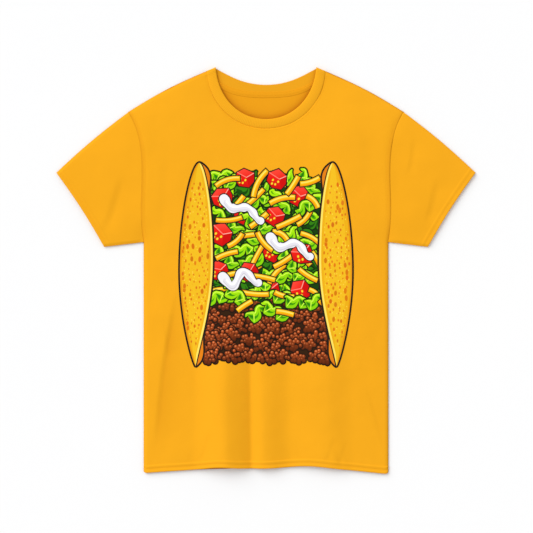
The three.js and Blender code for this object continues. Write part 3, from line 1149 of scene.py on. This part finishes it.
def makePrint():
    # one film of triangles that keeps every edge that shows; each has the ink of the layer on top there
    drawMeat()
    drawFilling()
    drawShell(-1)
    drawShell(1)
    points, edges = shownEdges()
    shines = np.array([spot for layer in layers for spot in layer[2]])
    low = np.min([layer[0].min(0) for layer in layers], 0)
    high = np.max([layer[0].max(0) for layer in layers], 0)
    gridX, gridY = np.meshgrid(*(np.arange(low[axis], high[axis], drawing["mesh"]) for axis in (0, 1)))
    filler = np.column_stack([gridX.ravel() + 0.37, gridY.ravel() + 0.41])
    flat = [Vector(p) for p in np.concatenate([points, shines, filler]).tolist()]
    found = geometry.delaunay_2d_cdt(flat, edges.tolist(), [], 0, 0.01, False)
    plan, triangles = np.array([tuple(spot) for spot in found[0]]), np.array(found[2])
    owners = topLayer(plan[triangles].mean(1))
    plan, triangles = onlyUsed(plan, triangles[owners >= 0])
    owners = owners[owners >= 0]
    height = frontHeight(plan[:, 0], plan[:, 1]) + drawing["film"]
    piece = solid("chestPrint", np.column_stack([plan, height]) * mm, triangles.tolist())
    tints = np.ones((len(triangles), 3, 4), np.float32)
    for number in np.unique(owners):
        mine = owners == number
        tints[mine, :, :3] = layers[number][1](plan[triangles[mine]].reshape(-1, 2)).reshape(-1, 3, 3)
    attribute = piece.data.color_attributes.new("ink", "FLOAT_COLOR", "CORNER")
    attribute.data.foreach_set("color", tints.ravel())
    return piece


printPiece = makePrint()
print("print drawn:", len(layers), "shapes,", len(printPiece.data.polygons), "triangles")


def inkFinish():
    finish = Finish("softInk")
    ink = finish.node("ShaderNodeAttribute", {"attribute_name": "ink"}, {}, 0)
    fine = finish.speckle(0.0013, 3.0, 0.7)
    worn = finish.mix(fine, (0.9, 0.9, 0.9, 1), (1, 1, 1, 1))
    bump = finish.node("ShaderNodeBump", {}, {"Height": fine, "Distance": 0.1 * mm, "Strength": 0.3})
    tint = finish.mix(1.0, ink, worn, "MULTIPLY")
    finish.feed(Base_Color=tint, Roughness=0.55 + fine * 0.15, Normal=bump, Specular_IOR_Level=0.02)
    return finish.material


printPiece.data.materials.append(inkFinish())
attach(printPiece, "root")

# a stitch is a thread of this half length and radius, let into the cloth a little
seams = {"half": 1.25, "radius": 0.28, "pitch": 3.2, "sides": 6, "sunk": 0.08, "belowNeck": 3.2}


def makeStitches(name, cloth, rows):
    # short threads lying along each row on top of a piece of cloth
    tips = []
    for row in rows:
        along = distanceAlong(row)
        for place in np.arange(seams["pitch"], along[-1] - seams["pitch"], seams["pitch"]):
            for shift in (-seams["half"], seams["half"]):
                x, y = (float(np.interp(place + shift, along, row[:, axis])) for axis in (0, 1))
                spot = cloth.ray_cast(Vector((x * mm, y * mm, 1)), Vector((0, 0, -1)))[1]
                tips.append((x, y, spot.z / mm - seams["sunk"]))
    tips = np.array(tips).reshape(-1, 2, 3)
    run = unit(tips[:, 1] - tips[:, 0])
    aside = np.cross(run, (0, 0, 1))
    over = np.cross(aside, run)
    turn = (np.arange(seams["sides"]) / seams["sides"] * tau)[:, None]
    ring = (np.cos(turn) * aside[:, None] + np.sin(turn) * over[:, None]) * seams["radius"]
    step = run[:, None] * seams["radius"]
    rings = [tips[:, end, None] + way * step + ring for end, way in ((0, 1), (1, -1))]
    sides = np.arange(seams["sides"])
    near, far, last = 1 + sides, 1 + seams["sides"] + sides, 1 + 2 * seams["sides"]
    tube = [
        np.column_stack([near, np.roll(near, -1), np.roll(far, -1), far]),
        np.column_stack([0 * near, np.roll(near, -1), near]),
        np.column_stack([0 * near + last, far, np.roll(far, -1)]),
    ]
    return solidMany(name, np.concatenate([tips[:, :1], rings[0], rings[1], tips[:, 1:]], 1), tube)


def solidMany(name, points, faces):
    # the same small solid repeated, one set of points for each
    count, each = points.shape[:2]
    every = []
    for kind in faces:
        every += (kind[None] + (np.arange(count) * each)[:, None, None]).reshape(-1, kind.shape[1]).tolist()
    return solid(name, points.reshape(-1, 3) * mm, every)


def acrossHem(rise):
    x = np.linspace(-214, 214, 160)
    return np.column_stack([x, frontHem(x) + rise])


def downArmhole(side):
    y = np.linspace(cut["armpit"] + 8, cut["shoulder"][1] - 8, 90)
    return np.column_stack([side * (sidePoint(y)[:, 0] - armholeSeam["row"]), y])


def roundNeck(margin):
    seam = mirrored(frontSeamCurve, np.linspace(-0.97, 0.97, 120))
    return seam - normals(seam)[1] * margin


def roundCuff(side, rise):
    row = bowed(cut["sleeveCorner"], cut["sleeveTip"], np.linspace(0.04, 0.96, 60), cut["cuffHollow"])
    return (row + leftOf(cut["sleeveCorner"], cut["sleeveTip"]) * rise) * [side, 1]


def acrossTape(rise):
    return mirrored(backSeamCurve, np.linspace(-0.8, 0.8, 90)) + [0, rise]


hemStitches = makeStitches("hemStitches", frontPiece, [acrossHem(rise) for rise in hemBand["rows"]])
armholeStitches = makeStitches("armholeStitches", frontPiece, [downArmhole(side) for side in (-1, 1)])
neckStitches = makeStitches("neckStitches", frontPiece, [roundNeck(seams["belowNeck"])])
cuffStitches = [
    makeStitches(name, cloth, [roundCuff(side, rise) for rise in hemBand["rows"]])
    for name, cloth, side in zip(("cuffStitchesLeft", "cuffStitchesRight"), sleevePieces, (-1, 1))
]
tapeStitches = makeStitches("tapeStitches", tapePiece, [acrossTape(rise) for rise in tape["rows"]])
threadFinish = knitFinish("thread", jersey["rib"], 0.05)
for piece in (hemStitches, armholeStitches, neckStitches, *cuffStitches, tapeStitches):
    piece.data.materials.append(threadFinish)
    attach(piece, "root")
print("seams stitched")

table = {"size": 60.0, "drop": 0.4, "tints": ((0.868, 0.868, 0.872, 1), (0.876, 0.876, 0.876, 1))}


def makeTable():
    half, low = table["size"] / 2, -table["drop"] * mm
    corners = [(-half, -half, low), (half, -half, low), (half, half, low), (-half, half, low)]
    floor = solid("table", corners, [(0, 1, 2, 3)])
    finish = Finish("paper")
    grain = finish.speckle(0.3)
    finish.feed(Base_Color=finish.mix(grain, *table["tints"]), Roughness=0.9)
    floor.data.materials.append(finish.material)


light = {"from": (-0.58, 0.56, 0.64), "strength": 2.2, "softness": 0.9, "sky": 0.705}


def makeKey():
    data = bpy.data.lights.new("key", "SUN")
    data.energy, data.angle = light["strength"], light["softness"]
    lamp = bpy.data.objects.new("key", data)
    lamp.rotation_euler = Vector(light["from"]).to_track_quat("Z", "Y").to_euler()
    bpy.context.scene.collection.objects.link(lamp)


makeTable()
makeKey()

world = bpy.data.worlds.new("studio")
bpy.context.scene.world = world
world.use_nodes = True
sky = world.node_tree.nodes["Background"]
sky.inputs["Color"].default_value = (1, 1, 1, 1)
sky.inputs["Strength"].default_value = light["sky"]
bpy.context.scene.view_settings.view_transform = "Standard"

lens = {"length": 100.0, "sensor": 36.0, "across": 0.9594, "centre": (0.0009, 0.0072)}
cameraData = bpy.data.cameras.new("overhead")
cameraData.lens, cameraData.sensor_width = lens["length"], lens["sensor"]
camera = bpy.data.objects.new("overhead", cameraData)
camera.location = (*lens["centre"], lens["across"] * lens["length"] / lens["sensor"])
bpy.context.scene.collection.objects.link(camera)
bpy.context.scene.camera = camera
print("table, light and camera set")
